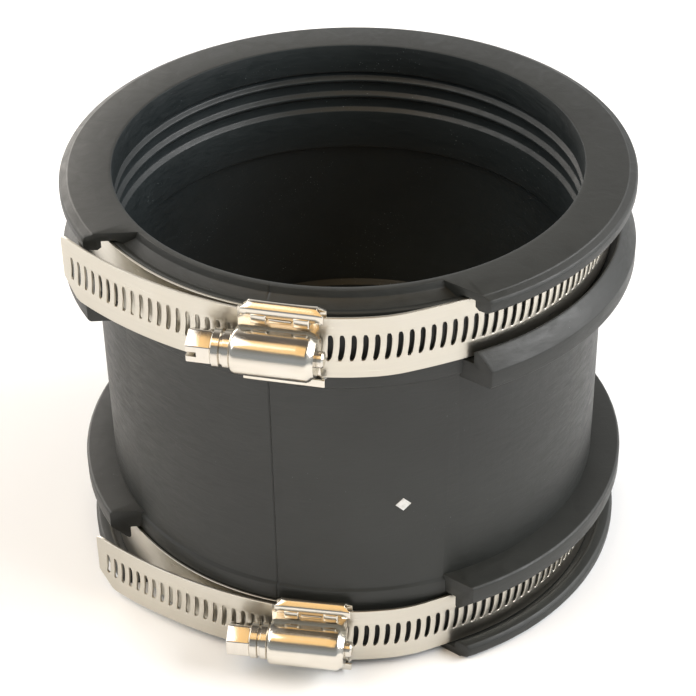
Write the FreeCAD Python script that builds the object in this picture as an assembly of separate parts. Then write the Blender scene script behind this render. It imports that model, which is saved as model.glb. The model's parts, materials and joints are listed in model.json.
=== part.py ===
"""Flexible drain pipe coupling: a moulded rubber sleeve held by two worm-drive band clamps.

Frame: millimetres, +Z along the bore, origin on the bore's axis in the lower end face.
Angles are measured about +Z from the front (-Y) towards the right (+X).
The flanges are left open at the front, where the two clamp housings sit.
"""
import FreeCAD, Part
import math
import os

V = FreeCAD.Vector
ORIGIN = V(0, 0, 0)
UP = V(0, 0, 1)

# ---- rubber sleeve -------------------------------------------------------------------
LENGTH = 103.0            # end face to end face
R_BORE = 54.8             # lands, sealing ribs: a 110 mm pipe pushes in with a light stretch
R_GROOVE = 55.9           # between the sealing ribs
R_CHAMBER = 56.6          # middle of the bore, between the two sockets
R_WAIST = 60.4            # outside, between the two collars
R_BED = 61.0              # collar that a band lies on
R_HOOK = 63.5             # inner face of the lips that stand over a band's edges
R_END_FLANGE = 67.0
R_INNER_FLANGE = 67.7
R_RIM = 56.4              # narrow rim where the end flange is open
COLLAR_END = 22.0         # from the end face to the step down to the waist
COLLAR_STEP = 0.6         # length of the sloping step
OPENINGS = {              # front opening of the flanges, degrees left and right on the bed
    "upper": (40.5, 40.5),
    "lower": (40.5, 37.5),
}
OPENING_FACE_DEG = 70.0   # direction of the flanges' cut ends
OPENING_INWARD = 14.0     # reach of the cut ends' planes, inwards and outwards from the bed
OPENING_OUTWARD = 30.0
OVERSHOOT = 1.0           # how far a cutting shape stands out of what it cuts

# ---- clamps, common to both ----------------------------------------------------------
BAND_WIDTH = 15.3
BAND_THICK = 0.6
BAND_CENTRE = 10.05       # from the nearer end face
R_INNER_LAYER = 61.5      # middle of the strip where it lies on the bed
R_OUTER_LAYER = 62.8      # middle of the strip where it runs through the housing
SLOT_STEP_DEG = 2.25      # one slot per turn of the screw: 160 turns would go once round
SLOT_LENGTH = 6.5
SLOT_WIDTH = 1.1
SLOT_CUT_FROM = -2.0      # reach of a slot's cutter, outside and through the strip
SLOT_CUT_THROUGH = 2.9
TAIL_LENGTH = 51.0        # free end, from the housing
TAIL_CLEAR = 2.2          # plain strip before the first slot
TAIL_CORNER = 4.5         # cut off the free end's lower corner
LIFT_START_DEG = 17.5     # right of the housing's centre, where the strip leaves the bed
LIFT_INNER_BEND = 30.0    # radii of the two bends that bring the strip back to the bed
LIFT_OUTER_BEND = 160.0
FIXED_END_DEG = 7.0       # under the housing, right of its centre
SLOTS_END_DEG = 78.0      # last slot, right of the housing's centre

HOUSING_LENGTH = 18.5
HOUSING_LIFT = 0.45       # housing and screw sit a little above the strip's middle
FLOOR_IN = 61.9           # saddle floor, between the two layers of strip
SHEET = 0.5
COVER_IN = 63.6
COVER_SHEET = 0.65
COVER_HALF_WIDTH = 8.8
SADDLE_HALF_WIDTH = 9.9   # to the middle of the folded wall
SADDLE_FLOOR_HALF = 8.3   # where the flat floor ends and the wall slopes outwards
WALL_FROM = 62.9          # radii between which the wall stands upright
WALL_TO = 63.5
LIP_TURN = 0.9            # how far the lip's fold is cut off at its corner
LIP_END = 7.0             # z at which the lips end, over the cover
LIP_GAP = 0.05            # between the cover and the lips
TUNNEL_R = 5.5
TUNNEL_BORE = 4.85
LUG_LENGTH = 2.4          # four lugs of the cover stand in windows of the saddle's lips
LUG_WIDTH = 1.8
LUG_OFFSET = 4.6
LUG_Z = 7.5
LUG_CLEAR = 0.1
LUG_SUNK = 0.1            # how deep a lug starts in the cover's sheet
LUG_RISE = 0.7            # how far it stands out

# ---- worm screw ----------------------------------------------------------------------
SCREW_AXIS = 67.2         # radius at which the screw's axis touches its circle
THREAD_R = 4.6
CORE_R = 3.3
THREAD_TURNS = 6
THREAD_CREST = 0.55
THREAD_ROOT = 1.3
THREAD_BURIED = 0.25      # how deep the thread's foot lies in the core
NECK_R = 2.4
NECK_CLEAR = 0.08
TIP_R = 1.8
COLLAR_R = 4.2
COLLAR_LENGTH = 4.2
COLLAR_RING = 1.9         # the collar's ring next to the hexagon, then a shallow groove
COLLAR_GROOVE = 0.5
COLLAR_GROOVE_DEPTH = 0.5
HEX_FLATS = 7.0
HEX_LENGTH = 5.4
DRIVER_SLOT = 1.2
DRIVER_DEPTH = 2.4
HEAD_GAP = 0.3
TIP_REACH = 0.9           # how far the tip stands out of the housing

# ---- what differs between the two clamps ---------------------------------------------
CLAMPS = {
    "upper": {"z": LENGTH - BAND_CENTRE, "housing_deg": 4.3, "tail_radius": 100.0},
    "lower": {"z": BAND_CENTRE, "housing_deg": 8.2, "tail_radius": 115.0},
}

# ---- white mark on the waist ---------------------------------------------------------
MARK_SIDE = 2.5
MARK_DEG = 28.0
MARK_Z = 47.0
MARK_THICK = 0.15
MARK_CUT_DEPTH = 10.0


def polar(radius, deg):
    """Point in the XY plane; deg is 0 at the front and grows towards the right."""
    rad = math.radians(deg)
    return V(radius * math.sin(rad), -radius * math.cos(rad), 0)


def turned_section(points, start_deg, end_deg):
    """Solid made by turning a closed (radius, z) outline about the bore's axis."""
    corners = [V(r, 0, z) for r, z in points]
    face = Part.Face(Part.makePolygon(corners + corners[:1]))
    face.rotate(ORIGIN, UP, start_deg - 90)
    return face.revolve(ORIGIN, UP, end_deg - start_deg)


def cylinder_along_x(radius, x_start, x_end):
    return Part.makeCylinder(radius, x_end - x_start, V(x_start, 0, 0), V(1, 0, 0))


def seat(shape, clamp, lift=0.0):
    """Move a shape made at the front, with z measured from the band's middle, to its clamp."""
    shape = shape.copy()
    shape.translate(V(0, 0, clamp["z"] + lift))
    shape.rotate(ORIGIN, UP, clamp["housing_deg"])
    return shape


# ---- rubber sleeve -------------------------------------------------------------------
def mirrored(half):
    """Outline points (radius, depth from the end face), upper half then lower half."""
    top = [(r, LENGTH - depth) for r, depth in half]
    bottom = [(r, depth) for r, depth in reversed(half)]
    return top + bottom


def sleeve_core():
    """The tube, as it shows in the front opening: plain rim, bed for the band, waist."""
    outside = [(R_RIM, 0.0), (R_BED - 0.3, 2.0), (R_BED, 2.4), (R_BED, COLLAR_END),
               (R_WAIST, COLLAR_END + COLLAR_STEP)]
    inside = [
        (R_BORE, 0.0), (R_BORE, 7.5), (R_GROOVE, 8.3), (R_GROOVE, 9.2),
        (R_BORE, 9.8), (R_BORE, 10.4), (R_GROOVE, 11.1), (R_GROOVE, 13.6),
        (R_BORE, 14.3), (R_BORE, 14.9), (R_GROOVE, 15.8), (R_GROOVE, 18.2),
        (R_BORE, 19.0), (R_BORE, 29.5), (R_CHAMBER, 30.4),
    ]
    return turned_section(mirrored(outside) + mirrored(inside)[::-1], -90, 270)


def flange_sections():
    """Outlines of the end flange and the inner flange, as (radius, depth)."""
    root = R_BED - 2.0
    end_flange = [
        (R_RIM - 0.8, 0.0), (65.0, 0.0), (66.6, 0.7), (R_END_FLANGE, 1.4),
        (R_END_FLANGE, 3.3), (66.3, 4.2), (64.3, 4.3), (R_HOOK, 3.6),
        (R_HOOK, 2.0), (root, 2.0), (R_RIM - 0.8, 1.0),
    ]
    inner_flange = [
        (root, 18.4), (R_HOOK, 18.4), (R_HOOK, 15.4), (R_HOOK + 0.4, 15.0),
        (R_HOOK + 0.9, 15.3), (R_INNER_FLANGE, 18.8), (R_INNER_FLANGE, 22.8),
        (R_INNER_FLANGE - 0.5, 23.3), (root, 23.3),
    ]
    return end_flange, inner_flange


def opening_side(half_deg):
    """Right-hand side of the opening's outline, from its inner corner to well in front."""
    corner = polar(R_BED, half_deg)
    along = polar(1.0, OPENING_FACE_DEG)
    outer = corner + along * OPENING_OUTWARD
    return [corner - along * OPENING_INWARD, outer, V(outer.x, -2 * R_END_FLANGE, 0)]


def front_opening(left_deg, right_deg):
    """Prism over the front opening; its two sides give the flanges their slanted ends."""
    left = [V(-p.x, p.y, 0) for p in reversed(opening_side(left_deg))]
    outline = opening_side(right_deg) + left
    face = Part.Face(Part.makePolygon(outline + outline[:1]))
    prism = face.extrude(V(0, 0, LENGTH + 2 * OVERSHOOT))
    prism.translate(V(0, 0, -OVERSHOOT))
    return prism


def rubber_sleeve():
    sleeve = sleeve_core()
    for section in flange_sections():
        outlines = {"lower": section, "upper": [(r, LENGTH - depth) for r, depth in section]}
        for end, outline in outlines.items():
            ring = turned_section(outline, 0, 360)
            sleeve = sleeve.fuse(ring.cut(front_opening(*OPENINGS[end])))
    return sleeve.removeSplitter()


def white_mark():
    """A small lozenge that follows the curve of the waist."""
    shell = Part.makeCylinder(R_WAIST + MARK_THICK, LENGTH)
    shell = shell.cut(Part.makeCylinder(R_WAIST, LENGTH))
    corner = V(-MARK_SIDE / 2, -R_WAIST - MARK_CUT_DEPTH / 2, -MARK_SIDE / 2)
    block = Part.makeBox(MARK_SIDE, MARK_CUT_DEPTH, MARK_SIDE, corner)
    block.rotate(ORIGIN, V(0, 1, 0), 45)
    block.translate(V(0, 0, MARK_Z))
    block.rotate(ORIGIN, UP, MARK_DEG)
    return shell.common(block)


# ---- clamp band ----------------------------------------------------------------------
def arc_between(centre, radius, start_deg, end_deg):
    """Arc edge about a centre; angles as in polar()."""
    points = [centre + polar(radius, a) for a in (start_deg, (start_deg + end_deg) / 2, end_deg)]
    return Part.Arc(*points).toShape()


def band_arcs(tail_radius):
    """Middle line of the strip as (centre, radius, start, end), from tail tip to fixed end."""
    exit_deg = -math.degrees(HOUSING_LENGTH / 2 / R_OUTER_LAYER)
    tail_centre = polar(R_OUTER_LAYER - tail_radius, exit_deg)
    tail_deg = math.degrees(TAIL_LENGTH / tail_radius)

    near = R_OUTER_LAYER - LIFT_INNER_BEND
    far = LIFT_OUTER_BEND - R_INNER_LAYER
    between = LIFT_OUTER_BEND - LIFT_INNER_BEND
    lift_deg = math.degrees(math.acos((between**2 - near**2 - far**2) / (2 * near * far)))
    land_deg = LIFT_START_DEG + lift_deg
    near_centre = polar(near, LIFT_START_DEG)
    far_centre = polar(-far, land_deg)
    across = near_centre - far_centre
    meet_deg = math.degrees(math.atan2(across.x, -across.y))
    return [
        (tail_centre, tail_radius, exit_deg - tail_deg, exit_deg),
        (ORIGIN, R_OUTER_LAYER, exit_deg, LIFT_START_DEG),
        (near_centre, LIFT_INNER_BEND, LIFT_START_DEG, meet_deg),
        (far_centre, LIFT_OUTER_BEND, meet_deg, land_deg),
        (ORIGIN, R_INNER_LAYER, land_deg, 360 + FIXED_END_DEG),
    ]


def slot_places(arcs):
    """(point, direction in degrees) of every slot, evenly spaced along the strip."""
    step = R_OUTER_LAYER * math.radians(SLOT_STEP_DEG)
    lengths = [radius * math.radians(end - start) for _, radius, start, end in arcs]
    middle = lengths[0] + R_OUTER_LAYER * math.radians(-arcs[1][2])
    last = sum(lengths[:4]) + R_INNER_LAYER * math.radians(SLOTS_END_DEG - arcs[4][2])
    first_index = -int((middle - TAIL_CLEAR) / step)
    last_index = int((last - middle) / step)
    places = []
    for index in range(first_index, last_index + 1):
        run = middle + index * step
        for (centre, radius, start, _), length in zip(arcs, lengths):
            if run <= length:
                break
            run -= length
        deg = start + math.degrees(run / radius)
        places.append((centre + polar(radius, deg), deg))
    return places


def slot_cutter(lead):
    """Slanted slot at the origin: x along the strip, y through it, z across it."""
    half = SLOT_LENGTH / 2
    slant = half * lead
    outline = [
        V(-slant - SLOT_WIDTH / 2, SLOT_CUT_FROM, -half),
        V(-slant + SLOT_WIDTH / 2, SLOT_CUT_FROM, -half),
        V(slant + SLOT_WIDTH / 2, SLOT_CUT_FROM, half),
        V(slant - SLOT_WIDTH / 2, SLOT_CUT_FROM, half),
    ]
    return Part.Face(Part.makePolygon(outline + outline[:1])).extrude(V(0, SLOT_CUT_THROUGH, 0))


def tail_end_cutter(place, deg):
    """Cuts the lower corner off the strip's free end."""
    edge = -BAND_WIDTH / 2
    deep = 5 * BAND_THICK
    past = V(-OVERSHOOT, 0, 0)
    outline = [V(0, -deep, 2 * edge), V(TAIL_CORNER, -deep, 2 * edge), V(TAIL_CORNER, -deep, edge),
               V(0, -deep, edge + TAIL_CORNER)]
    outline = [outline[0] + past] + outline[1:] + [outline[3] + past]
    cutter = Part.Face(Part.makePolygon(outline + outline[:1])).extrude(V(0, 2 * deep, 0))
    cutter.rotate(ORIGIN, UP, deg)
    cutter.translate(place)
    return cutter


def clamp_band(clamp):
    """One strip: slotted tail, pass through the housing, loop round the bed, fixed end."""
    arcs = band_arcs(clamp["tail_radius"])
    half = BAND_THICK / 2
    outer = [arc_between(c, r + half, a, b) for c, r, a, b in arcs]
    inner = [arc_between(c, r - half, a, b) for c, r, a, b in arcs]
    tip_place = arcs[0][0] + polar(arcs[0][1], arcs[0][2])
    caps = []
    for (centre, radius, start, end), deg in ((arcs[0], arcs[0][2]), (arcs[-1], arcs[-1][3])):
        ends = [centre + polar(radius + side, deg) for side in (-half, half)]
        caps.append(Part.makeLine(*ends))
    wire = Part.Wire(Part.__sortEdges__(outer + inner + caps))
    strip = Part.Face(wire).extrude(V(0, 0, BAND_WIDTH))
    strip.translate(V(0, 0, -BAND_WIDTH / 2))

    lead = thread_pitch() / (2 * math.pi * (THREAD_R - 0.3))
    pattern = slot_cutter(lead)
    cutters = []
    for place, deg in slot_places(arcs):
        cutter = pattern.copy()
        cutter.rotate(ORIGIN, UP, deg)
        cutter.translate(place)
        cutters.append(cutter)
    cutters.append(tail_end_cutter(tip_place, arcs[0][2]))
    return seat(strip.cut(Part.makeCompound(cutters)), clamp)


# ---- clamp housing -------------------------------------------------------------------
def offset_line(points, distance):
    """Parallel of an open (radius, z) line, with mitred corners."""
    normals = []
    for (r0, z0), (r1, z1) in zip(points, points[1:]):
        size = math.hypot(r1 - r0, z1 - z0)
        normals.append(((z1 - z0) / size, (r0 - r1) / size))
    joined = [normals[0]]
    for (ar, az), (br, bz) in zip(normals, normals[1:]):
        scale = 1 + ar * br + az * bz
        joined.append(((ar + br) / scale, (az + bz) / scale))
    joined.append(normals[-1])
    return [(r + nr * distance, z + nz * distance) for (r, z), (nr, nz) in zip(points, joined)]


def housing_half_deg():
    return math.degrees(HOUSING_LENGTH / 2 / R_OUTER_LAYER)


def lug_blocks(clear, low, high):
    """Boxes at the four places where cover and saddle hook into each other."""
    length = LUG_LENGTH + 2 * clear
    width = LUG_WIDTH + 2 * clear
    blocks = []
    for x in (-LUG_OFFSET, LUG_OFFSET):
        for z in (-LUG_Z, LUG_Z):
            corner = V(x - length / 2, -high, z - width / 2)
            blocks.append(Part.makeBox(length, high - low, width, corner))
    return blocks


def clamp_saddle(clamp):
    """Folded sheet: a floor under the strip, walls past its edges, lips over the cover."""
    middle = FLOOR_IN + SHEET / 2
    lip = COVER_IN + COVER_SHEET + LIP_GAP + SHEET / 2
    quarter = [(middle, SADDLE_FLOOR_HALF), (WALL_FROM, SADDLE_HALF_WIDTH),
               (WALL_TO, SADDLE_HALF_WIDTH), (lip, SADDLE_HALF_WIDTH - LIP_TURN), (lip, LIP_END)]
    line = [(r, -z) for r, z in reversed(quarter)] + quarter
    outline = offset_line(line, SHEET / 2) + offset_line(line, -SHEET / 2)[::-1]
    half = housing_half_deg()
    saddle = turned_section(outline, -half, half)
    for block in lug_blocks(LUG_CLEAR, COVER_IN, SCREW_AXIS):
        saddle = saddle.cut(block)
    return seat(saddle, clamp, HOUSING_LIFT)


def clamp_cover(clamp):
    """Sheet over the screw: two flat flanges, a round tunnel and two end walls."""
    half = housing_half_deg()
    end = HOUSING_LENGTH / 2
    top = COVER_IN + COVER_SHEET
    plate = turned_section([(COVER_IN, -COVER_HALF_WIDTH), (top, -COVER_HALF_WIDTH),
                            (top, COVER_HALF_WIDTH), (COVER_IN, COVER_HALF_WIDTH)], -half, half)
    axis = V(0, -SCREW_AXIS, 0)
    tunnel = cylinder_along_x(TUNNEL_R, -end, end)
    tunnel.translate(axis)
    below = V(0, 0, -TUNNEL_R - OVERSHOOT)
    tunnel = tunnel.cut(Part.makeCylinder(COVER_IN, 2 * (TUNNEL_R + OVERSHOOT), below))
    cover = plate.fuse(tunnel)
    for block in lug_blocks(0.0, COVER_IN + LUG_SUNK, top + LUG_RISE):
        cover = cover.fuse(block)
    hollow = cylinder_along_x(TUNNEL_BORE, -end + COVER_SHEET, end - COVER_SHEET)
    neck_hole = cylinder_along_x(NECK_R + NECK_CLEAR, -end - OVERSHOOT, 0)
    tip_hole = cylinder_along_x(TIP_R + NECK_CLEAR, 0, end + OVERSHOOT)
    for hole in (hollow, neck_hole, tip_hole):
        hole.translate(axis)
        cover = cover.cut(hole)
    return seat(cover.removeSplitter(), clamp, HOUSING_LIFT)


# ---- worm screw ----------------------------------------------------------------------
def thread_pitch():
    return R_OUTER_LAYER * math.radians(SLOT_STEP_DEG)


def worm_thread():
    """Right-handed thread along z, crossing the x axis in its middle."""
    pitch = thread_pitch()
    height = THREAD_TURNS * pitch
    path = Part.makeHelix(pitch, height, CORE_R)
    buried = CORE_R - THREAD_BURIED
    section = [V(buried, 0, -THREAD_ROOT / 2), V(THREAD_R, 0, -THREAD_CREST / 2),
               V(THREAD_R, 0, THREAD_CREST / 2), V(buried, 0, THREAD_ROOT / 2)]
    profile = Part.makePolygon(section + section[:1])
    thread = Part.Wire(path.Edges).makePipeShell([profile], True, True)
    thread.translate(V(0, 0, -height / 2))
    return thread


def hex_head(left, right):
    radius = HEX_FLATS / 2 / math.cos(math.radians(30))
    corners = []
    for index in range(6):
        turn = math.radians(60 * index + 30)
        corners.append(V(left, radius * math.cos(turn), radius * math.sin(turn)))
    head = Part.Face(Part.makePolygon(corners + corners[:1])).extrude(V(right - left, 0, 0))
    slot = Part.makeBox(DRIVER_DEPTH, HEX_FLATS * 2, DRIVER_SLOT,
                        V(left, -HEX_FLATS, -DRIVER_SLOT / 2))
    return head.cut(slot)


def worm_screw(clamp):
    """Slotted hex head, two-step collar, neck, threaded body and tip, in one piece."""
    end = HOUSING_LENGTH / 2
    wall = COVER_SHEET + HEAD_GAP
    collar_right = -end - HEAD_GAP
    collar_left = collar_right - COLLAR_LENGTH
    groove_left = collar_left + COLLAR_RING
    groove_right = groove_left + COLLAR_GROOVE
    screw = cylinder_along_x(CORE_R, -end + wall, end - wall)
    thread = worm_thread()
    thread.Placement = FreeCAD.Placement(V(0, 0, 0), FreeCAD.Rotation(V(1, 1, 1), 120)).multiply(
        thread.Placement)
    screw = screw.fuse(thread)
    pieces = [
        cylinder_along_x(NECK_R, collar_right, -end + wall),
        cylinder_along_x(TIP_R, end - wall, end + TIP_REACH),
        cylinder_along_x(COLLAR_R, groove_right, collar_right),
        cylinder_along_x(COLLAR_R - COLLAR_GROOVE_DEPTH, groove_left, groove_right),
        cylinder_along_x(COLLAR_R, collar_left, groove_left),
        hex_head(collar_left - HEX_LENGTH, collar_left),
    ]
    for piece in pieces:
        screw = screw.fuse(piece)
    screw.translate(V(0, -SCREW_AXIS, 0))
    return seat(screw.removeSplitter(), clamp, HOUSING_LIFT)


def build():
    nodes = {"rubber_sleeve": rubber_sleeve(), "white_mark": white_mark()}
    for name, clamp in CLAMPS.items():
        nodes[name + "_band"] = clamp_band(clamp)
        nodes[name + "_saddle"] = clamp_saddle(clamp)
        nodes[name + "_cover"] = clamp_cover(clamp)
        nodes[name + "_worm_screw"] = worm_screw(clamp)
    return nodes


os.makedirs("parts", exist_ok=True)
for node_name, shape in build().items():
    solids = shape.Solids
    print(node_name, "solids", len(solids), "valid", shape.isValid(), "volume", round(shape.Volume, 1))
    result = solids[0] if len(solids) == 1 else Part.makeCompound(solids)
    result.exportStep("parts/" + node_name + ".step")
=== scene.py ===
"""Looks for the flexible pipe coupling: a rubber sleeve and two worm-drive band clamps.

Shapes are worked out in millimetres, in the frame's own directions: +Z along the bore and -Y
towards the opening in the flanges. Angles turn from -Y towards +X. Clamp parts are first made
at the front, with z measured from the middle of the strip, and are then seated.
"""

import json
import math

import bmesh
import bpy
from mathutils import Matrix, Vector, noise


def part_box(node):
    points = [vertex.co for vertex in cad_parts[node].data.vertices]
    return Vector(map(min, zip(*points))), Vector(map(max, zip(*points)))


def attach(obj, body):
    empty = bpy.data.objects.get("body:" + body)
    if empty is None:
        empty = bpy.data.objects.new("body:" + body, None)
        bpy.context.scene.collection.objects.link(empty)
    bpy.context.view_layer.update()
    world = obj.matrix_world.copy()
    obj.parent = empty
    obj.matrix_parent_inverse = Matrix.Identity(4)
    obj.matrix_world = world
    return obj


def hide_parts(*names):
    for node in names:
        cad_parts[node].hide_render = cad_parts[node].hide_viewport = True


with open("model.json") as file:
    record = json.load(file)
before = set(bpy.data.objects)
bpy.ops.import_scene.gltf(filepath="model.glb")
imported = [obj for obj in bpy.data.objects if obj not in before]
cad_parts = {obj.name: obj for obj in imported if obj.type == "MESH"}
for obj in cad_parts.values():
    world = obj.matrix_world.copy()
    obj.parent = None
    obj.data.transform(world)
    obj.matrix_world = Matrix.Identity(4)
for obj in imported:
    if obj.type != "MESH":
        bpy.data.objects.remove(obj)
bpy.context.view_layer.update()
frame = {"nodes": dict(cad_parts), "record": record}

MM = 0.001
TAU = 2 * math.pi

# ---- sizes of the rubber sleeve, mm ----------------------------------------------------
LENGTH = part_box("rubber_sleeve")[1].z / MM
R_BORE = 54.8
R_GROOVE = 55.9
R_CHAMBER = 56.6
R_WAIST = 60.4
R_BED = 61.0
R_HOOK = 63.5
R_END_FLANGE = 67.0
R_INNER_FLANGE = 67.68
R_RIM = 56.4
COLLAR_END = 22.0
COLLAR_STEP = 0.6
OPENINGS = {"upper": (40.5, 40.5), "lower": (40.5, 37.5)}
OPENING_FACE_DEG = 70.0
OPENING_MARGIN_DEG = 8      # turned beyond the slanted cut, and cut off again
SLEEVE_STEPS = 240
FLANGE_STEPS = 140
CORE_ROUNDING = 0.22
FLANGE_ROUNDING = 0.2
CUT_END_ROUNDING = 0.35
BORE_FACE_REACH = 0.7       # outwards from the rim: what lies within it counts as the bore
MERGE_FINE = 0.001
MERGE_JOINTS = 0.002

# parting line down the front
SEAM_STATIONS = (-0.7, -0.28, 0.0, 0.28, 0.7)
SEAM_REACH = 0.75
SEAM_DEPTH = 0.26
SEAM_LIP = 0.10
SEAM_EDGE = 0.04
SEAM_SWAY = 0.45

# ---- sizes of the clamps, mm -----------------------------------------------------------
BAND_WIDTH = 15.3
BAND_THICK = 0.6
R_INNER_LAYER = 61.5
R_OUTER_LAYER = 62.8
SLOT_STEP_DEG = 2.25
SLOT_LENGTH = 6.5
SLOT_WIDTH = 1.1
TAIL_LENGTH = 51.0
TAIL_CLEAR = 2.2
TAIL_CORNER = 4.5
TAIL_RADIUS = {"upper": 100.0, "lower": 115.0}
LIFT_START_DEG = 17.5
LIFT_INNER_BEND = 30.0
LIFT_OUTER_BEND = 160.0
FIXED_END_DEG = 7.0
SLOTS_END_DEG = 78.0
PLAIN_STEP = 1.6            # between the mesh's lines where the strip has no slots
SLOT_TIP_WIDTH = 0.35       # of a slot's width, at its tips
SLOT_CURVE = 0.34

HOUSING_LENGTH = 18.5
FLOOR_IN = 61.9
SHEET = 0.5
COVER_IN = 63.6
COVER_SHEET = 0.65
SADDLE_HALF_WIDTH = 9.9
WALL_FROM = 62.9
WALL_TO = 63.5
SADDLE_FLOOR_HALF = 8.3
SADDLE_INSET = 0.7          # the saddle starts to the right of the cover's left end
LIP_TURN = 0.9
LIP_GAP = 0.1
LIP_Z = 7.2
FOLD_TAPER = 0.16
TUNNEL_R = 5.5
TUNNEL_STEPS = 24
TUNNEL_SETBACK = 0.9        # of its right end
TUNNEL_DRAWN_IN = 0.22      # share of its radius, at the right end
COVER_HALF_WIDTH = 8.7
TAB_SPANS = ((-6.3, -2.9), (2.9, 6.3))
TAB_RISE = 0.95

THREAD_R = 4.6
CORE_R = 3.3
THREAD_TURNS = 6
NECK_R = 2.4
TIP_R = 1.8
COLLAR_R = 4.2
COLLAR_LENGTH = 4.2
HEX_FLATS = 7.0
HEX_LENGTH = 5.4
DRIVER_SLOT = 1.2
DRIVER_DEPTH = 2.4
HEAD_GAP = 0.3
HEAD_TURN_DEG = {"upper": 0.0, "lower": 60.0}
HEAD_ROUNDING = 0.28
THREAD_FOOT = 0.25          # how deep the thread's foot lies in the core
THREAD_STEPS = 24           # per turn

EDGE_LIMIT_DEG = 50.0       # edges sharper than this are rounded

# ========================================================================================
# Small helpers
# ========================================================================================
def polar(radius, deg, z=0.0):
    """Point at an angle that is 0 at the front and grows towards the right."""
    rad = math.radians(deg)
    return Vector((radius * math.sin(rad), -radius * math.cos(rad), z))


def angle_of(point):
    return math.degrees(math.atan2(point.x, -point.y))


def smooth(t):
    t = min(max(t, 0.0), 1.0)
    return t * t * (3 - 2 * t)


def clamp_seats():
    """Angle, heights and screw radius of each clamp, from the screw joints and the strips."""
    seats = {}
    for joint in frame["record"]["behaviour"]["joints"]:
        side, _, kind = joint["name"].partition("_")
        if kind == "screw_spin":
            x, y, z = (value / MM for value in joint["pos_m"])
            low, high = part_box(side + "_band")
            seats[side] = {"deg": angle_of(Vector((x, y, 0))), "z": z, "axis": math.hypot(x, y),
                           "strip_z": (low.z + high.z) / 2 / MM}
    return seats


def seat(bm, place, height="z"):
    """Move what was made at the front, at height zero, to its clamp."""
    bmesh.ops.translate(bm, vec=Vector((0, 0, place[height])), verts=bm.verts)
    turn = Matrix.Rotation(math.radians(place["deg"]), 3, "Z")
    bmesh.ops.rotate(bm, cent=Vector(), matrix=turn, verts=bm.verts)


def rounded_outline(bm, points, rounding):
    """Closed line in the XZ plane from (radius, z) points, with rounded corners."""
    verts = [bm.verts.new((r, 0, z)) for r, z in points]
    bm.faces.new(verts)
    bmesh.ops.bevel(bm, geom=verts, offset=rounding, offset_type="OFFSET", affect="VERTICES",
                    segments=2, profile=0.5, material=-1, clamp_overlap=True)
    bmesh.ops.delete(bm, geom=bm.faces[:], context="FACES_ONLY")


def open_line(bm, points, rounding=0.0):
    """Chain of edges in the YZ plane from (radius, z) points, with rounded inner corners."""
    verts = [bm.verts.new((0, -r, z)) for r, z in points]
    for first, second in zip(verts, verts[1:]):
        bm.edges.new((first, second))
    if rounding:
        bmesh.ops.bevel(bm, geom=verts[1:-1], offset=rounding, offset_type="OFFSET",
                        affect="VERTICES", segments=3, profile=0.5, material=-1,
                        clamp_overlap=True)


def extrude_along_x(bm, stations):
    """Draws a chain of edges at x = 0 out into a sheet with a line at each station."""
    bmesh.ops.translate(bm, vec=Vector((stations[0], 0, 0)), verts=bm.verts)
    edges = bm.edges[:]
    for before, after in zip(stations, stations[1:]):
        made = bmesh.ops.extrude_edge_only(bm, edges=edges)["geom"]
        verts = [g for g in made if isinstance(g, bmesh.types.BMVert)]
        edges = [g for g in made if isinstance(g, bmesh.types.BMEdge)]
        bmesh.ops.translate(bm, vec=Vector((after - before, 0, 0)), verts=verts)


def take_in(bm, part):
    """Adds another bmesh to bm and frees it."""
    mesh = bpy.data.meshes.new("part")
    part.to_mesh(mesh)
    part.free()
    bm.from_mesh(mesh)
    bpy.data.meshes.remove(mesh)


def to_object(bm, name):
    mesh = bpy.data.meshes.new(name)
    bm.to_mesh(mesh)
    bm.free()
    obj = bpy.data.objects.new(name, mesh)
    bpy.context.collection.objects.link(obj)
    return obj


def apply_modifiers(obj):
    """Bakes an object's modifiers into its mesh."""
    depsgraph = bpy.context.evaluated_depsgraph_get()
    mesh = bpy.data.meshes.new_from_object(obj.evaluated_get(depsgraph))
    obj.modifiers.clear()
    old = obj.data
    obj.data = mesh
    bpy.data.meshes.remove(old)


def boolean(obj, other, operation):
    """Joins another object into obj, or cuts it away, and removes the other one."""
    modifier = obj.modifiers.new("boolean", "BOOLEAN")
    modifier.operation = operation
    modifier.solver = "EXACT"
    modifier.object = other
    bpy.context.view_layer.update()
    apply_modifiers(obj)
    bpy.data.objects.remove(other, do_unlink=True)


def add_piece(bm_or_obj, name, materials, body, replaced=(), sharp_deg=35.0):
    """Brings a piece made in millimetres into the scene, and ties it to its CAD body."""
    obj = bm_or_obj
    if isinstance(bm_or_obj, bmesh.types.BMesh):
        obj = to_object(bm_or_obj, name)
    obj.name = name
    obj.data.transform(Matrix.Scale(MM, 4))
    obj.data.materials.clear()
    for material in materials:
        obj.data.materials.append(material)
    obj.data.shade_smooth()
    obj.data.set_sharp_from_angle(angle=math.radians(sharp_deg))
    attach(obj, body)
    if replaced:
        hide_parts(*replaced)
    return obj


def thicken(obj, thickness):
    """Gives a sheet its thickness, half of it on each side."""
    modifier = obj.modifiers.new("thickness", "SOLIDIFY")
    modifier.thickness = thickness * MM
    modifier.offset = 0.0


def round_edges(obj, width):
    modifier = obj.modifiers.new("edge rounding", "BEVEL")
    modifier.width = width * MM
    modifier.segments = 2
    modifier.limit_method = "ANGLE"
    modifier.angle_limit = math.radians(EDGE_LIMIT_DEG)
    modifier.harden_normals = False


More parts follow.
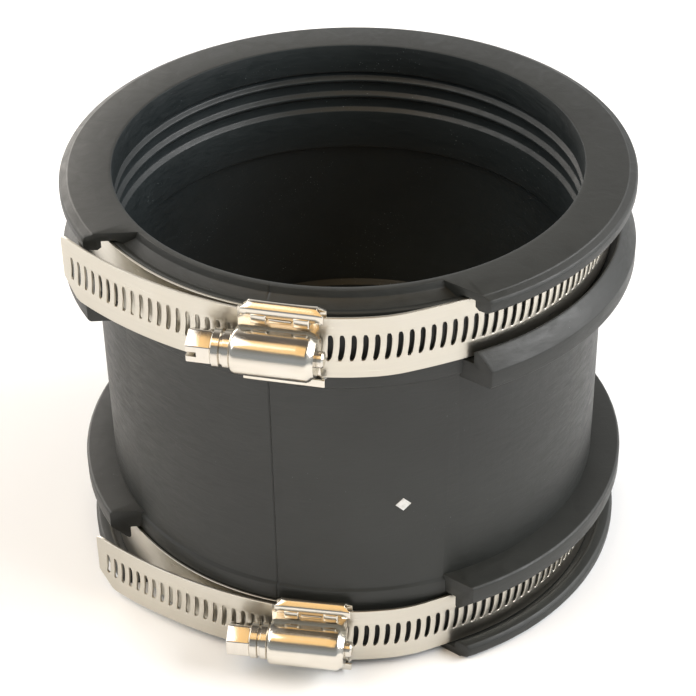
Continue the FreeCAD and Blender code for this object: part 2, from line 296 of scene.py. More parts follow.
# ========================================================================================
# Materials
# ========================================================================================
class Shader:
    """A material with a few short ways to add nodes to it."""

    def __init__(self, name):
        self.material = bpy.data.materials.new(name)
        self.material.use_nodes = True
        self.tree = self.material.node_tree
        self.surface = self.tree.nodes["Principled BSDF"]
        self.place = self.tree.nodes.new("ShaderNodeTexCoord")

    def add(self, kind, **inputs):
        node = self.tree.nodes.new(kind)
        for key, value in inputs.items():
            socket = node.inputs[key.replace("_", " ")]
            if isinstance(value, bpy.types.NodeSocket):
                self.tree.links.new(value, socket)
            else:
                socket.default_value = value
        return node

    def link(self, output, key):
        self.tree.links.new(output, self.surface.inputs[key])

    def mapped(self, scale, source="Object"):
        node = self.add("ShaderNodeMapping", Vector=self.place.outputs[source])
        node.inputs["Scale"].default_value = scale
        return node.outputs["Vector"]

    def noise(self, scale, vector=None, detail=4.0, roughness=0.55, distortion=0.0):
        vector = vector or self.place.outputs["Object"]
        node = self.add("ShaderNodeTexNoise", Vector=vector, Scale=scale, Detail=detail,
                        Roughness=roughness, Distortion=distortion)
        return node.outputs["Fac"]

    def ramp(self, value, stops):
        """Colour ramp; stops are (place, grey or colour)."""
        node = self.tree.nodes.new("ShaderNodeValToRGB")
        self.tree.links.new(value, node.inputs["Fac"])
        elements = node.color_ramp.elements
        while len(elements) < len(stops):
            elements.new(0.5)
        for element, (position, colour) in zip(elements, stops):
            element.position = position
            if not isinstance(colour, tuple):
                colour = (colour, colour, colour)
            element.color = (*colour, 1.0)
        return node.outputs["Color"]

    def mix(self, factor, first, second, blend="MIX"):
        node = self.tree.nodes.new("ShaderNodeMix")
        node.data_type = "RGBA"
        node.blend_type = blend
        pairs = (("Factor", factor), ("A", first), ("B", second))
        for key, value in pairs:
            socket = [s for s in node.inputs if s.name == key and s.enabled][0]
            if isinstance(value, bpy.types.NodeSocket):
                self.tree.links.new(value, socket)
            elif key == "Factor":
                socket.default_value = value
            else:
                socket.default_value = (*value, 1.0)
        return [s for s in node.outputs if s.enabled][0]

    def maths(self, operation, first, second):
        node = self.tree.nodes.new("ShaderNodeMath")
        node.operation = operation
        for index, value in enumerate((first, second)):
            if isinstance(value, bpy.types.NodeSocket):
                self.tree.links.new(value, node.inputs[index])
            else:
                node.inputs[index].default_value = value
        return node.outputs[0]

    def bump(self, layers):
        """Bump from (height, distance in mm) layers, one on top of the other."""
        normal = None
        for height, distance in layers:
            node = self.add("ShaderNodeBump", Height=height, Distance=distance * MM)
            if normal:
                self.tree.links.new(normal, node.inputs["Normal"])
            normal = node.outputs["Normal"]
        self.link(normal, "Normal")

    def set(self, **values):
        for key, value in values.items():
            self.surface.inputs[key.replace("_", " ")].default_value = value


def rubber_material(name, dark, light, dusty=False):
    """Satin moulded rubber: cloudy tone, faint flow marks, fine grain, a few dust specks."""
    shader = Shader(name)
    cloud = shader.noise(22.0, detail=3.0)
    flow = shader.noise(1.0, shader.mapped((160, 160, 700)), detail=5.0, roughness=0.6,
                        distortion=1.2)
    tone = shader.maths("ADD", shader.maths("MULTIPLY", cloud, 0.7),
                        shader.maths("MULTIPLY", flow, 0.3))
    colour = shader.ramp(tone, [(0.32, dark), (0.68, light)])
    specks = shader.noise(2600.0, detail=1.0)
    patches = shader.noise(60.0, detail=2.0)
    level = 0.735 if dusty else 0.77
    speck = shader.ramp(specks, [(level, 0.0), (level + 0.03, 1.0)])
    where = shader.ramp(patches, [(0.48, 0.0), (0.66, 1.0)])
    dust = shader.maths("MULTIPLY", speck, where)
    dust = shader.maths("MULTIPLY", dust, 0.75 if dusty else 0.35)
    colour = shader.mix(dust, colour, (0.30, 0.34, 0.35))
    shader.link(colour, "Base Color")
    rough = shader.ramp(flow, [(0.3, 0.40), (0.7, 0.56)])
    shader.link(rough, "Roughness")
    grain = shader.noise(3800.0, detail=2.0)
    waves = shader.noise(120.0, detail=3.0)
    shader.bump([(waves, 0.10), (flow, 0.06), (grain, 0.012)])
    shader.set(Specular_IOR_Level=0.45)
    return shader.material


def steel_material(name, base, rough, grain_scale, grain_depth, warmth):
    """Stainless sheet: rolled grain along the piece's own length, faint tint and wear."""
    shader = Shader(name)
    shader.set(Metallic=1.0)
    grain = shader.noise(1.0, shader.mapped(grain_scale, source="UV"), detail=4.0)
    patches = shader.noise(90.0, detail=3.0)
    tint = shader.ramp(patches, [(0.35, base), (0.7, tuple(b * w for b, w in zip(base, warmth)))])
    colour = shader.mix(shader.maths("MULTIPLY", grain, 0.25), tint, (0.42, 0.40, 0.37))
    shader.link(colour, "Base Color")
    shader.link(shader.ramp(grain, [(0.25, rough[0]), (0.75, rough[1])]), "Roughness")
    shader.bump([(grain, grain_depth)])
    return shader.material


def paint_material():
    shader = Shader("white_paint")
    cover = shader.noise(900.0, detail=2.0)
    shader.link(shader.ramp(cover, [(0.3, (0.60, 0.60, 0.57)), (0.6, (0.74, 0.74, 0.72))]),
                "Base Color")
    shader.bump([(cover, 0.02)])
    shader.set(Roughness=0.6)
    return shader.material


# ========================================================================================
# Rubber sleeve
# ========================================================================================
def mirrored(half):
    top = [(r, LENGTH - depth) for r, depth in half]
    bottom = [(r, depth) for r, depth in reversed(half)]
    return top + bottom


def core_outline():
    outside = [(R_RIM, 0.0), (R_RIM + 0.5, 1.5), (R_BED - 1.6, 2.9), (R_BED - 0.5, 2.4),
               (R_BED, 2.7), (R_BED, COLLAR_END), (R_WAIST, COLLAR_END + COLLAR_STEP)]
    inside = [
        (R_BORE, 0.0), (R_BORE, 7.5), (R_GROOVE, 8.3), (R_GROOVE, 9.2),
        (R_BORE, 9.8), (R_BORE, 10.4), (R_GROOVE, 11.1), (R_GROOVE, 13.6),
        (R_BORE, 14.3), (R_BORE, 14.9), (R_GROOVE, 15.8), (R_GROOVE, 18.2),
        (R_BORE, 19.0), (R_BORE, 29.5), (R_CHAMBER, 30.4),
    ]
    return mirrored(outside) + mirrored(inside)[::-1]


def spin_profile(bm, geom, start_deg, end_deg, steps, closed):
    """Turns geometry made in the XZ plane about the bore's axis."""
    turn = Matrix.Rotation(math.radians(start_deg - 90), 3, "Z")
    bmesh.ops.rotate(bm, cent=Vector(), matrix=turn, verts=bm.verts)
    bmesh.ops.spin(bm, geom=geom, cent=Vector(), axis=Vector((0, 0, 1)), dvec=Vector(),
                   angle=math.radians(end_deg - start_deg), steps=steps, use_merge=closed,
                   use_duplicate=False)


def sleeve_core():
    bm = bmesh.new()
    rounded_outline(bm, core_outline(), CORE_ROUNDING)
    spin_profile(bm, bm.verts[:] + bm.edges[:], 1.0, 361.0, SLEEVE_STEPS, True)
    bmesh.ops.remove_doubles(bm, verts=bm.verts, dist=MERGE_FINE)
    moulding_line(bm)
    bmesh.ops.recalc_face_normals(bm, faces=bm.faces)
    return bm


def moulding_line(bm):
    """Parting line down the front: a fine uneven crease, with a nick in each rim."""
    for x in SEAM_STATIONS:
        bmesh.ops.bisect_plane(bm, geom=bm.verts[:] + bm.edges[:] + bm.faces[:], dist=0.0005,
                               plane_co=Vector((x, 0, 0)), plane_no=Vector((1, 0, 0)))
    for vert in bm.verts:
        if vert.co.y > 0 or abs(vert.co.x) > SEAM_REACH:
            continue
        if math.hypot(vert.co.x, vert.co.y) < R_RIM - 0.8:
            continue
        depth = SEAM_EDGE
        if abs(vert.co.x) < 0.05:
            depth = SEAM_DEPTH
        elif vert.co.x > 0.1:
            depth = -SEAM_LIP
        depth *= 0.7 + 0.6 * noise.noise(Vector((0, 0, vert.co.z * 0.35)))
        vert.co.y += depth
        vert.co.x += SEAM_SWAY * noise.noise(Vector((3.1, 0, vert.co.z * 0.06)))


def flange_sections():
    root = R_BED - 2.0
    end_flange = [
        (R_RIM - 0.8, 0.0), (64.9, 0.0), (65.1, 0.25), (66.6, 0.8), (R_END_FLANGE, 1.5),
        (R_END_FLANGE, 3.3), (66.3, 4.2), (64.3, 4.3), (R_HOOK, 3.6),
        (R_HOOK, 2.0), (R_BED - 0.4, 2.0), (root, 3.6), (R_RIM - 0.8, 3.4),
    ]
    inner_flange = [
        (root, 18.4), (R_HOOK, 18.4), (R_HOOK, 15.4), (R_HOOK + 0.4, 15.0),
        (R_HOOK + 0.9, 15.3), (R_INNER_FLANGE, 18.8), (R_INNER_FLANGE, 22.8),
        (R_INNER_FLANGE - 0.5, 23.3), (root, 23.3),
    ]
    return {"end": end_flange, "inner": inner_flange}


def flange_half(outline, half_deg):
    """Right-hand half of a C-shaped flange: turned, cut slantwise at its end and closed there."""
    bm = bmesh.new()
    rounded_outline(bm, outline, FLANGE_ROUNDING)
    start_deg = half_deg - OPENING_MARGIN_DEG
    spin_profile(bm, bm.verts[:] + bm.edges[:], start_deg, 180.0, FLANGE_STEPS, False)
    along = polar(1.0, OPENING_FACE_DEG)
    across = Vector((-along.y, along.x, 0))
    bmesh.ops.bisect_plane(bm, geom=bm.verts[:] + bm.edges[:] + bm.faces[:], dist=0.0001,
                           plane_co=polar(R_BED, half_deg), plane_no=-across,
                           clear_outer=True)
    rim = [e for e in bm.edges if e.is_boundary and all(abs(v.co.x) > 5 for v in e.verts)]
    cap = bmesh.ops.contextual_create(bm, geom=rim)["faces"]
    edges = [e for face in cap for e in face.edges]
    bmesh.ops.bevel(bm, geom=edges, offset=CUT_END_ROUNDING, offset_type="OFFSET", affect="EDGES",
                    segments=2, profile=0.5, material=-1, clamp_overlap=True)
    for vert in bm.verts:
        if abs(vert.co.x) < MERGE_FINE:
            vert.co.x = 0.0
    return bm


def flange(outline, left_deg, right_deg):
    """C-shaped flange, joined from its two halves at the back."""
    bm = bmesh.new()
    for half_deg, flip in ((left_deg, -1), (right_deg, 1)):
        half = flange_half(outline, half_deg)
        half.transform(Matrix.Diagonal((flip, 1, 1, 1)))
        take_in(bm, half)
    bmesh.ops.remove_doubles(bm, verts=bm.verts, dist=MERGE_JOINTS)
    bmesh.ops.recalc_face_normals(bm, faces=bm.faces)
    return bm


def close_slivers(obj):
    """Merges the joints' nearly equal points and fills the pinholes between them."""
    bm = bmesh.new()
    bm.from_mesh(obj.data)
    bmesh.ops.remove_doubles(bm, verts=bm.verts, dist=MERGE_JOINTS)
    bmesh.ops.holes_fill(bm, edges=[e for e in bm.edges if e.is_boundary], sides=8)
    bmesh.ops.recalc_face_normals(bm, faces=bm.faces)
    bm.to_mesh(obj.data)
    bm.free()


def build_sleeve(rubber, bore_rubber):
    sleeve = to_object(sleeve_core(), "sleeve_rubber")
    for kind, section in flange_sections().items():
        for end, outline in (("lower", section), ("upper", [(r, LENGTH - d) for r, d in section])):
            ring = to_object(flange(outline, *OPENINGS[end]), "_".join((end, kind, "flange")))
            boolean(sleeve, ring, "UNION")
    close_slivers(sleeve)
    piece = add_piece(sleeve, "sleeve_rubber", (rubber, bore_rubber), "sleeve",
                      ("rubber_sleeve",), 32.0)
    bore_limit = (R_RIM + BORE_FACE_REACH) * MM
    for polygon in piece.data.polygons:
        centre = polygon.center
        radius = math.hypot(centre.x, centre.y)
        outward = (centre.x * polygon.normal.x + centre.y * polygon.normal.y) / radius
        if radius < bore_limit and outward < 0.2 and abs(polygon.normal.z) < 0.95:
            polygon.material_index = 1


# ========================================================================================
# Clamp strip
# ========================================================================================
def band_arcs(tail_radius):
    """Middle line of the strip as (centre, radius, start, end), from tail tip to fixed end."""
    exit_deg = -math.degrees(HOUSING_LENGTH / 2 / R_OUTER_LAYER)
    tail_centre = polar(R_OUTER_LAYER - tail_radius, exit_deg)
    tail_deg = math.degrees(TAIL_LENGTH / tail_radius)
    near = R_OUTER_LAYER - LIFT_INNER_BEND
    far = LIFT_OUTER_BEND - R_INNER_LAYER
    between = LIFT_OUTER_BEND - LIFT_INNER_BEND
    lift_deg = math.degrees(math.acos((between**2 - near**2 - far**2) / (2 * near * far)))
    land_deg = LIFT_START_DEG + lift_deg
    near_centre = polar(near, LIFT_START_DEG)
    far_centre = polar(-far, land_deg)
    meet_deg = angle_of(near_centre - far_centre)
    return [
        (tail_centre, tail_radius, exit_deg - tail_deg, exit_deg),
        (Vector(), R_OUTER_LAYER, exit_deg, LIFT_START_DEG),
        (near_centre, LIFT_INNER_BEND, LIFT_START_DEG, meet_deg),
        (far_centre, LIFT_OUTER_BEND, meet_deg, land_deg),
        (Vector(), R_INNER_LAYER, land_deg, 360 + FIXED_END_DEG),
    ]


def on_strip(arcs, run):
    """Point of the middle line at a distance along the strip from its tail tip."""
    for centre, radius, start, end in arcs:
        length = radius * math.radians(end - start)
        if run <= length or end > 360:
            return centre + polar(radius, start + math.degrees(run / radius))
        run -= length


def slot_runs(arcs):
    """Distances of the slots from the tail tip, in step with the worm in the housing."""
    lengths = [radius * math.radians(end - start) for _, radius, start, end in arcs]
    step = R_OUTER_LAYER * math.radians(SLOT_STEP_DEG)
    middle = lengths[0] + R_OUTER_LAYER * math.radians(-arcs[1][2])
    last = sum(lengths[:4]) + R_INNER_LAYER * math.radians(SLOTS_END_DEG - arcs[4][2])
    first_index = -int((middle - TAIL_CLEAR) / step)
    runs = [middle + index * step for index in range(first_index, int((last - middle) / step) + 1)]
    return runs, sum(lengths)


def mesh_lines(runs, total):
    """Where the strip's mesh has its lines: distances along the strip and heights across it."""
    half_slot = SLOT_WIDTH / 2
    stations = [0.0, 0.45, 1.1]
    for run in runs:
        stations += [run - half_slot, run - half_slot / 3, run + half_slot / 3, run + half_slot]
    plain = total - runs[-1] - half_slot
    count = int(plain / PLAIN_STEP)
    stations += [stations[-1] + plain * (i + 1) / count for i in range(count)]
    half = BAND_WIDTH / 2
    tip = SLOT_LENGTH / 2
    rows = [-half, -half + 0.35, -5.6, -tip - 0.5, -tip]
    rows += [tip * k / 5 for k in range(-4, 5)]
    rows += [tip, tip + 0.5, 5.6, half - 0.35, half]
    return stations, rows


def beside_slot(run, z, centre):
    """Shifts a mesh point near a slot, so that the slot leans, curves and narrows to its tips."""
    tip = SLOT_LENGTH / 2
    lead = SLOT_STEP_DEG / 360 * R_OUTER_LAYER / (THREAD_R - 0.3)
    reach = max(0.0, 1 - (abs(z) / (tip + 0.3)) ** 2)
    near = max(0.0, 1 - max(0.0, abs(z) - tip) / 2.0)
    narrow = SLOT_TIP_WIDTH + (1 - SLOT_TIP_WIDTH) * min(1.0, reach * 1.9)
    run = centre + (run - centre) * (narrow if abs(z) <= tip + 0.01 else 1.0)
    return run + (lead * min(max(z, -tip), tip) + SLOT_CURVE * (reach - 0.45)) * near


def strip_mesh(arcs):
    """Flat slotted strip, bent to the clamp's shape. Its UV map keeps the flat layout."""
    runs, total = slot_runs(arcs)
    stations, rows = mesh_lines(runs, total)
    half = BAND_WIDTH / 2
    tip = SLOT_LENGTH / 2
    first, last = 2, 3 + 4 * len(runs)

    bm = bmesh.new()
    columns, lines = len(stations) - 1, len(rows) - 1
    bmesh.ops.create_grid(bm, x_segments=columns, y_segments=lines, size=0.5)
    slot_faces = []
    for face in bm.faces:
        centre = face.calc_center_median()
        column = int((centre.x + 0.5) * columns)
        row = rows[int((centre.y + 0.5) * lines)]
        in_slot = first < column < last and (column - 3) % 4 != 3
        if in_slot and -tip - 0.01 < row < tip - 0.01:
            slot_faces.append(face)
    flat = {}
    for vert in bm.verts:
        column = round((vert.co.x + 0.5) * columns)
        run = stations[column]
        z = rows[round((vert.co.y + 0.5) * lines)]
        if first < column < last:
            run = beside_slot(run, z, runs[(column - 3) // 4])
        flat[vert] = (run, z)
    bmesh.ops.delete(bm, geom=slot_faces, context="FACES")
    uv = bm.loops.layers.uv.new("flat")
    for face in bm.faces:
        for loop in face.loops:
            run, z = flat[loop.vert]
            loop[uv].uv = (run * MM, z * MM)
    for vert in bm.verts:
        run, z = flat[vert]
        if run < TAIL_CORNER and z < 0:
            z *= 1 - (TAIL_CORNER - max(run, 0.0)) / half
        if run < 1.5 and z > 0:
            z *= 1 - (1.5 - max(run, 0.0)) ** 2 * 0.045
        point = on_strip(arcs, max(run, 0.0))
        vert.co = Vector((point.x, point.y, z))
    return bm


def build_band(side, place, steel):
    bm = strip_mesh(band_arcs(TAIL_RADIUS[side]))
    seat(bm, place, "strip_z")
    bmesh.ops.recalc_face_normals(bm, faces=bm.faces)
    piece = add_piece(bm, side + "_strip", (steel,), side + "_band", (side + "_band",),
                      50.0)
    thicken(piece, BAND_THICK)
    round_edges(piece, 0.1)


# ========================================================================================
# Clamp housing
# ========================================================================================
def unwrap_flat(bm):
    """UV map that runs along x, for grain along the housing and the screw."""
    uv = bm.loops.layers.uv.new("flat")
    for face in bm.faces:
        for loop in face.loops:
            co = loop.vert.co
            loop[uv].uv = (co.x * MM, (co.z + 0.6 * co.y) * MM)


def straighten(bm, straight_from):
    """Curves the inner part of a straight sheet round the bore and leaves the outer part."""
    for vert in bm.verts:
        radius = -vert.co.y
        curved = math.sqrt(radius**2 - vert.co.x**2)
        flat = smooth((radius - FLOOR_IN - 0.4) / (straight_from - FLOOR_IN - 0.4))
        vert.co.y = -(curved + (radius - curved) * flat)


def saddle_sheet():
    """Floor, sloping walls and lips. The folds on top of the walls are shorter than the lips."""
    bm = bmesh.new()
    middle = FLOOR_IN + SHEET / 2
    lip = COVER_IN + COVER_SHEET + LIP_GAP + SHEET / 2
    quarter = [(middle, SADDLE_FLOOR_HALF), (WALL_FROM, SADDLE_HALF_WIDTH),
               (WALL_TO, SADDLE_HALF_WIDTH), (lip, SADDLE_HALF_WIDTH - LIP_TURN), (lip, LIP_Z)]
    line = [(r, -z) for r, z in reversed(quarter)] + quarter
    open_line(bm, line, 0.2)
    left, right = -HOUSING_LENGTH / 2 + SADDLE_INSET, HOUSING_LENGTH / 2
    extrude_along_x(bm, [left + (right - left) * step / 10 for step in range(11)])
    for vert in bm.verts:
        fold = smooth((abs(vert.co.z) - SADDLE_HALF_WIDTH + 1.0) / 0.9)
        vert.co.x *= 1 - FOLD_TAPER * fold
    bmesh.ops.recalc_face_normals(bm, faces=bm.faces)
    straighten(bm, COVER_IN)
    return bm


def build_saddle(side, place, steel):
    bm = saddle_sheet()
    unwrap_flat(bm)
    seat(bm, place)
    piece = add_piece(bm, side + "_housing_saddle", (steel,), side + "_housing",
                      (side + "_saddle",), 40.0)
    thicken(piece, SHEET)
    round_edges(piece, 0.1)


def cover_sheet(axis):
    """Flat flanges and a round tunnel; the tunnel's ends draw in towards the screw."""
    bm = bmesh.new()
    plate = COVER_IN + COVER_SHEET / 2
    radius = TUNNEL_R - COVER_SHEET / 2
    drop = axis - plate
    foot = math.degrees(math.asin(drop / radius)) + 90
    arc = []
    for index in range(TUNNEL_STEPS + 1):
        turn = math.radians(-foot + 2 * foot * index / TUNNEL_STEPS)
        arc.append((axis + radius * math.cos(turn), radius * math.sin(turn)))
    foot_z = arc[-1][1] + 0.35
    half = COVER_HALF_WIDTH
    line = [(plate, -half), (plate, -foot_z)] + arc[1:-1] + [(plate, foot_z), (plate, half)]
    open_line(bm, line)
    left, right = -HOUSING_LENGTH / 2, HOUSING_LENGTH / 2 - TUNNEL_SETBACK
    stations = [left, left + 0.35, left + 0.9, -4.5, 0.0, 4.5, right - 1.7, right - 1.1,
                right - 0.5, right]
    extrude_along_x(bm, stations)
    centre = Vector((0, -axis, 0))
    for vert in bm.verts:
        offset = Vector((0, vert.co.y, vert.co.z)) - centre
        if offset.length > TUNNEL_R + 0.2:
            continue        # the flat flanges keep their shape
        near_right = smooth((vert.co.x - (right - 1.9)) / 1.9)
        near_left = smooth((left + 0.6 - vert.co.x) / 0.6)
        shrink = 1 - TUNNEL_DRAWN_IN * near_right**1.5 - 0.06 * near_left
        vert.co.y = centre.y + offset.y * shrink
        vert.co.z = centre.z + offset.z * shrink
    for x, hole in ((left, NECK_R + 0.25), (right, TIP_R + 0.5)):
        end_wall(bm, x, centre, hole)
    bmesh.ops.recalc_face_normals(bm, faces=bm.faces)
    return bm


def end_wall(bm, x, centre, hole):
    """Draws the tunnel's end edge inwards to a round hole for the screw."""
    rim = []
    for edge in bm.edges:
        if not edge.is_boundary or any(abs(v.co.x - x) > 0.01 for v in edge.verts):
            continue
        if all((Vector((0, v.co.y, v.co.z)) - centre).length < TUNNEL_R + 0.1 for v in edge.verts):
            rim.append(edge)
    made = bmesh.ops.extrude_edge_only(bm, edges=rim)["geom"]
    for vert in [g for g in made if isinstance(g, bmesh.types.BMVert)]:
        offset = Vector((0, vert.co.y, vert.co.z)) - centre
        offset *= hole / offset.length
        vert.co = Vector((vert.co.x, centre.y + offset.y, centre.z + offset.z))


def rounded_block(bm, low, high, rounding):
    """Block between two corners, with rounded edges."""
    made = bmesh.ops.create_cube(bm, size=1.0)["verts"]
    bmesh.ops.scale(bm, vec=high - low, verts=made)
    bmesh.ops.translate(bm, vec=(low + high) / 2, verts=made)
    edges = [e for e in bm.edges if e.verts[0] in made]
    bmesh.ops.bevel(bm, geom=edges, offset=rounding, offset_type="OFFSET", affect="EDGES",
                    segments=3, profile=0.5, material=-1)


def cover_lugs(bm):
    """On each flange: two tabs that hook over the saddle's lip, and a low rectangle between."""
    outer = COVER_IN + COVER_SHEET
    for side in (-1, 1):
        for low, high in TAB_SPANS:
            reach = sorted((side * 5.7, side * 8.0))
            rounded_block(bm, Vector((low, -outer - TAB_RISE, reach[0])),
                          Vector((high, -outer + 0.3, reach[1])), 0.3)
        reach = sorted((side * 5.95, side * 7.0))
        rounded_block(bm, Vector((TAB_SPANS[0][1] + 0.5, -outer - 0.5, reach[0])),
                      Vector((TAB_SPANS[1][0] - 0.5, -outer + 0.3, reach[1])), 0.12)


def build_cover(side, place, steel):
    bm = cover_sheet(place["axis"])
    bmesh.ops.solidify(bm, geom=bm.faces[:], thickness=COVER_SHEET * 0.9)
    bmesh.ops.recalc_face_normals(bm, faces=bm.faces)
    cover_lugs(bm)
    unwrap_flat(bm)
    seat(bm, place)
    piece = add_piece(bm, side + "_housing_cover", (steel,), side + "_housing",
                      (side + "_cover",), 40.0)
    round_edges(piece, 0.12)


# ========================================================================================
# Worm screw
# ========================================================================================
def turned_along_x(bm, outline):
    """Solid of revolution about x from (x, radius) points that start and end on the axis."""
    verts = [bm.verts.new((x, 0, radius)) for x, radius in outline]
    edges = [bm.edges.new(pair) for pair in zip(verts, verts[1:])]
    bmesh.ops.spin(bm, geom=verts + edges, cent=Vector(), axis=Vector((1, 0, 0)), dvec=Vector(),
                   angle=TAU, steps=48, use_merge=True, use_duplicate=False)
    bmesh.ops.remove_doubles(bm, verts=bm.verts, dist=0.001)
    bmesh.ops.recalc_face_normals(bm, faces=bm.faces)


def screw_body():
    """Collar in two steps, neck, core and rounded tip."""
    end = HOUSING_LENGTH / 2
    right = -end - HEAD_GAP
    left = right - COLLAR_LENGTH
    inside = end - 0.65 - HEAD_GAP
    bm = bmesh.new()
    outline = [
        (left - 0.3, 0), (left - 0.3, COLLAR_R - 1.0), (left, COLLAR_R - 0.25),
        (left + 0.25, COLLAR_R), (left + 1.75, COLLAR_R), (left + 2.0, COLLAR_R - 0.5),
        (left + 2.4, COLLAR_R - 0.5), (left + 2.6, COLLAR_R), (right - 0.25, COLLAR_R),
        (right, COLLAR_R - 0.25), (right, NECK_R), (-inside, NECK_R), (-inside, CORE_R),
        (inside, CORE_R), (inside, TIP_R), (end + 0.3, TIP_R), (end + 0.7, TIP_R - 0.35),
        (end + 0.9, 0),
    ]
    turned_along_x(bm, outline)
    return bm


def hex_head(side):
    """Hexagon with chamfered corners and a driver slot across it."""
    end = HOUSING_LENGTH / 2
    right = -end - HEAD_GAP - COLLAR_LENGTH
    bm = bmesh.new()
    radius = HEX_FLATS / math.sqrt(3)
    made = bmesh.ops.create_cone(bm, cap_ends=True, cap_tris=False, segments=6, radius1=radius,
                                 radius2=radius, depth=HEX_LENGTH)["verts"]
    bmesh.ops.rotate(bm, cent=Vector(), matrix=Matrix.Rotation(math.pi / 2, 3, "Y"), verts=made)
    bmesh.ops.rotate(bm, cent=Vector(), matrix=Matrix.Rotation(math.pi / 6, 3, "X"), verts=made)
    bmesh.ops.translate(bm, vec=Vector((right - HEX_LENGTH / 2, 0, 0)), verts=made)
    bmesh.ops.bevel(bm, geom=bm.edges[:], offset=HEAD_ROUNDING,
                    offset_type="OFFSET", affect="EDGES",
                    segments=3, profile=0.5, material=-1)
    bmesh.ops.recalc_face_normals(bm, faces=bm.faces)
    head = to_object(bm, "head")
    cutter = bmesh.new()
    made = bmesh.ops.create_cube(cutter, size=1.0)["verts"]
    bmesh.ops.scale(cutter, vec=Vector((2 * DRIVER_DEPTH, 20, DRIVER_SLOT)), verts=made)
    bmesh.ops.translate(cutter, vec=Vector((right - HEX_LENGTH, 0, 0)), verts=made)
    boolean(head, to_object(cutter, "driver_slot"), "DIFFERENCE")
    bm = bmesh.new()
    bm.from_mesh(head.data)
    bpy.data.objects.remove(head, do_unlink=True)
    turn = Matrix.Rotation(math.radians(HEAD_TURN_DEG[side]), 3, "X")
    bmesh.ops.rotate(bm, cent=Vector(), matrix=turn, verts=bm.verts)
    return bm


def worm_thread():
    """Right-handed thread that crosses the strip's side of the screw in its middle."""
    pitch = R_OUTER_LAYER * math.radians(SLOT_STEP_DEG)
    bm = bmesh.new()
    start = -THREAD_TURNS * pitch / 2
    foot = CORE_R - THREAD_FOOT
    section = ((foot, -0.65), (THREAD_R - 0.1, -0.32), (THREAD_R, -0.18),
               (THREAD_R, 0.18), (THREAD_R - 0.1, 0.32), (foot, 0.65))
    verts = [bm.verts.new((start + x, radius, 0)) for radius, x in section]
    face = bm.faces.new(verts)
    steps = THREAD_STEPS * THREAD_TURNS
    bmesh.ops.spin(bm, geom=[face] + face.verts[:] + face.edges[:], cent=Vector(),
                   axis=Vector((1, 0, 0)), dvec=Vector((THREAD_TURNS * pitch / steps, 0, 0)),
                   angle=TAU * THREAD_TURNS, steps=steps, use_merge=False, use_duplicate=False)
    bmesh.ops.recalc_face_normals(bm, faces=bm.faces)
    return bm


def build_screw(side, place, steel):
    bm = bmesh.new()
    for part in (screw_body(), hex_head(side), worm_thread()):
        take_in(bm, part)
    bmesh.ops.translate(bm, vec=Vector((0, -place["axis"], 0)), verts=bm.verts)
    unwrap_flat(bm)
    seat(bm, place)
    add_piece(bm, side + "_screw_turned", (steel,), side + "_screw", (side + "_worm_screw",),
              35.0)


# ========================================================================================
# Studio
# ========================================================================================
VIEW_DEG = 17.5
VIEW_UP = 0.6191
VIEW_DISTANCE = 489.6
VIEW_ROLL = 0.0175
LENS = 102.4

# name: degrees round the part, degrees up, distance and size in metres, watts, colour
LIGHTS = {
    "key": (-65, 48, 1.2, (0.9, 0.9), 7.0, (1, 1, 1)),
    "back": (128, 38, 1.3, (1.0, 0.8), 3.0, (1, 1, 1)),
    "left": (-118, 17, 1.1, (1.1, 0.6), 9.0, (1.0, 0.93, 0.85)),
    "right": (98, 34, 1.3, (1.0, 0.7), 18.0, (1, 1, 1)),
    "warm_card": (-4, 62, 0.9, (0.75, 0.62), 2.0, (1.0, 0.64, 0.26)),
}


def build_camera():
    """Camera a little to the right of the opening's middle, looking down at the part."""
    data = bpy.data.cameras.new("camera")
    data.lens = LENS
    data.sensor_width = 36.0
    data.shift_x = -0.0047
    data.shift_y = -0.0189
    camera = bpy.data.objects.new("camera", data)
    bpy.context.collection.objects.link(camera)
    back = polar(math.cos(VIEW_UP), VIEW_DEG, math.sin(VIEW_UP))
    right = Vector((math.cos(math.radians(VIEW_DEG)), math.sin(math.radians(VIEW_DEG)), 0))
    up = back.cross(right)
    rolled_right = right * math.cos(VIEW_ROLL) - up * math.sin(VIEW_ROLL)
    rolled_up = right * math.sin(VIEW_ROLL) + up * math.cos(VIEW_ROLL)
    turn = Matrix((rolled_right, rolled_up, back)).transposed()
    target = Vector((0, 0, LENGTH * MM / 2))
    camera.matrix_world = Matrix.Translation(target + back * VIEW_DISTANCE * MM) @ turn.to_4x4()
    bpy.context.scene.camera = camera


def add_panel(name, deg, up_deg, distance, size, power, colour):
    """Soft light at an angle round the part and a height above the horizon, aimed at it."""
    data = bpy.data.lights.new(name, "AREA")
    data.shape = "RECTANGLE"
    data.size, data.size_y = size
    data.energy = power
    data.color = colour
    light = bpy.data.objects.new(name, data)
    bpy.context.collection.objects.link(light)
    up = math.radians(up_deg)
    back = polar(math.cos(up), deg, math.sin(up))
    light.location = Vector((0, 0, LENGTH * MM / 2)) + back * distance
    light.rotation_mode = "QUATERNION"
    light.rotation_quaternion = back.to_track_quat("Z", "Y")


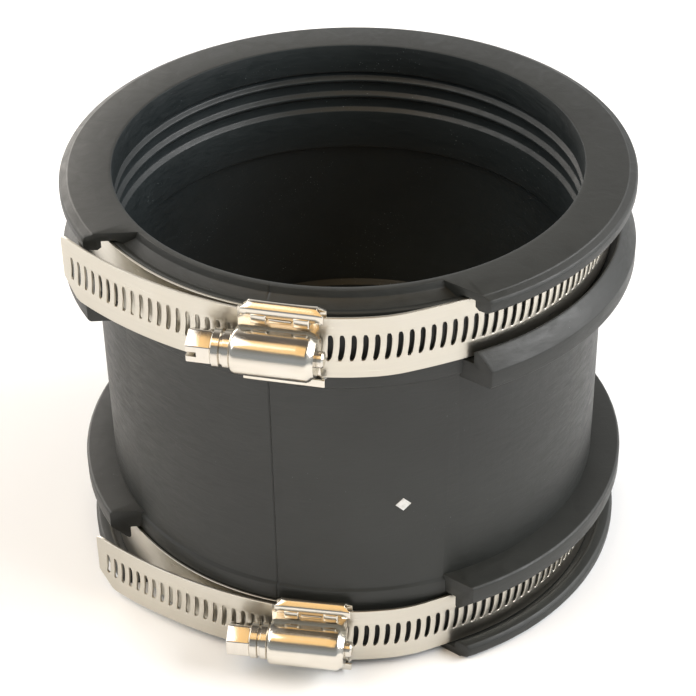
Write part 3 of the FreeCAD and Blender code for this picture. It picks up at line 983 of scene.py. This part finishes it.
def build_surroundings():
    """White low down and behind; dim, and a little warm, overhead and on the camera's side."""
    world = bpy.data.worlds.new("studio")
    world.use_nodes = True
    tree = world.node_tree
    direction = tree.nodes.new("ShaderNodeTexCoord")
    axes = tree.nodes.new("ShaderNodeSeparateXYZ")
    tree.links.new(direction.outputs["Generated"], axes.inputs[0])
    colours = []
    for axis, stops in (("Z", ((0.30, (1.0, 1.0, 1.0)), (0.62, (0.62, 0.58, 0.53)),
                               (0.85, (0.16, 0.14, 0.12)))),
                        ("Y", ((-0.55, (0.40, 0.43, 0.45)), (0.25, (1.0, 1.0, 1.0))))):
        spread = tree.nodes.new("ShaderNodeMapRange")
        spread.inputs["From Min"].default_value = -1.0
        tree.links.new(axes.outputs[axis], spread.inputs["Value"])
        ramp = tree.nodes.new("ShaderNodeValToRGB")
        tree.links.new(spread.outputs["Result"], ramp.inputs["Fac"])
        while len(ramp.color_ramp.elements) < len(stops):
            ramp.color_ramp.elements.new(0.5)
        for element, (position, colour) in zip(ramp.color_ramp.elements, stops):
            element.position = (position + 1) / 2
            element.color = (*colour, 1.0)
        colours.append(ramp.outputs["Color"])
    both = tree.nodes.new("ShaderNodeVectorMath")
    both.operation = "MULTIPLY"
    tree.links.new(colours[0], both.inputs[0])
    tree.links.new(colours[1], both.inputs[1])
    tree.links.new(both.outputs[0], tree.nodes["Background"].inputs["Color"])
    bpy.context.scene.world = world


def build_studio():
    bm = bmesh.new()
    bmesh.ops.create_grid(bm, x_segments=2, y_segments=2, size=3.0)
    floor = to_object(bm, "floor")
    shader = Shader("pale_floor")
    tone = shader.noise(3.0, detail=2.0)
    colour = shader.ramp(tone, [(0.3, (0.93, 0.95, 0.98)), (0.7, (0.96, 0.98, 1.0))])
    shader.link(colour, "Base Color")
    shader.set(Roughness=0.7)
    floor.data.materials.append(shader.material)
    build_surroundings()
    for name, values in LIGHTS.items():
        add_panel(name, *values)
    scene = bpy.context.scene
    scene.view_settings.view_transform = "Standard"
    scene.view_settings.look = "None"


# ========================================================================================
# Put it together
# ========================================================================================
rubber = rubber_material("satin_rubber", (0.009, 0.010, 0.009), (0.021, 0.023, 0.021))
bore_rubber = rubber_material("bore_rubber", (0.008, 0.011, 0.012), (0.019, 0.025, 0.027), True)
strip_steel = steel_material("rolled_strip", (0.62, 0.59, 0.52), (0.26, 0.38), (60, 1600, 1),
                             0.01, (0.97, 0.96, 0.94))
housing_steel = steel_material("pressed_sheet", (0.72, 0.68, 0.61), (0.13, 0.24), (90, 900, 1),
                               0.012, (0.97, 0.96, 0.93))
screw_steel = steel_material("turned_steel", (0.70, 0.66, 0.60), (0.12, 0.24), (900, 90, 1),
                             0.01, (0.97, 0.96, 0.93))

mark = frame["nodes"]["white_mark"]
mark.data.materials.clear()
mark.data.materials.append(paint_material())

build_sleeve(rubber, bore_rubber)
for side, place in clamp_seats().items():
    build_band(side, place, strip_steel)
    build_saddle(side, place, housing_steel)
    build_cover(side, place, housing_steel)
    build_screw(side, place, screw_steel)
build_studio()
build_camera()
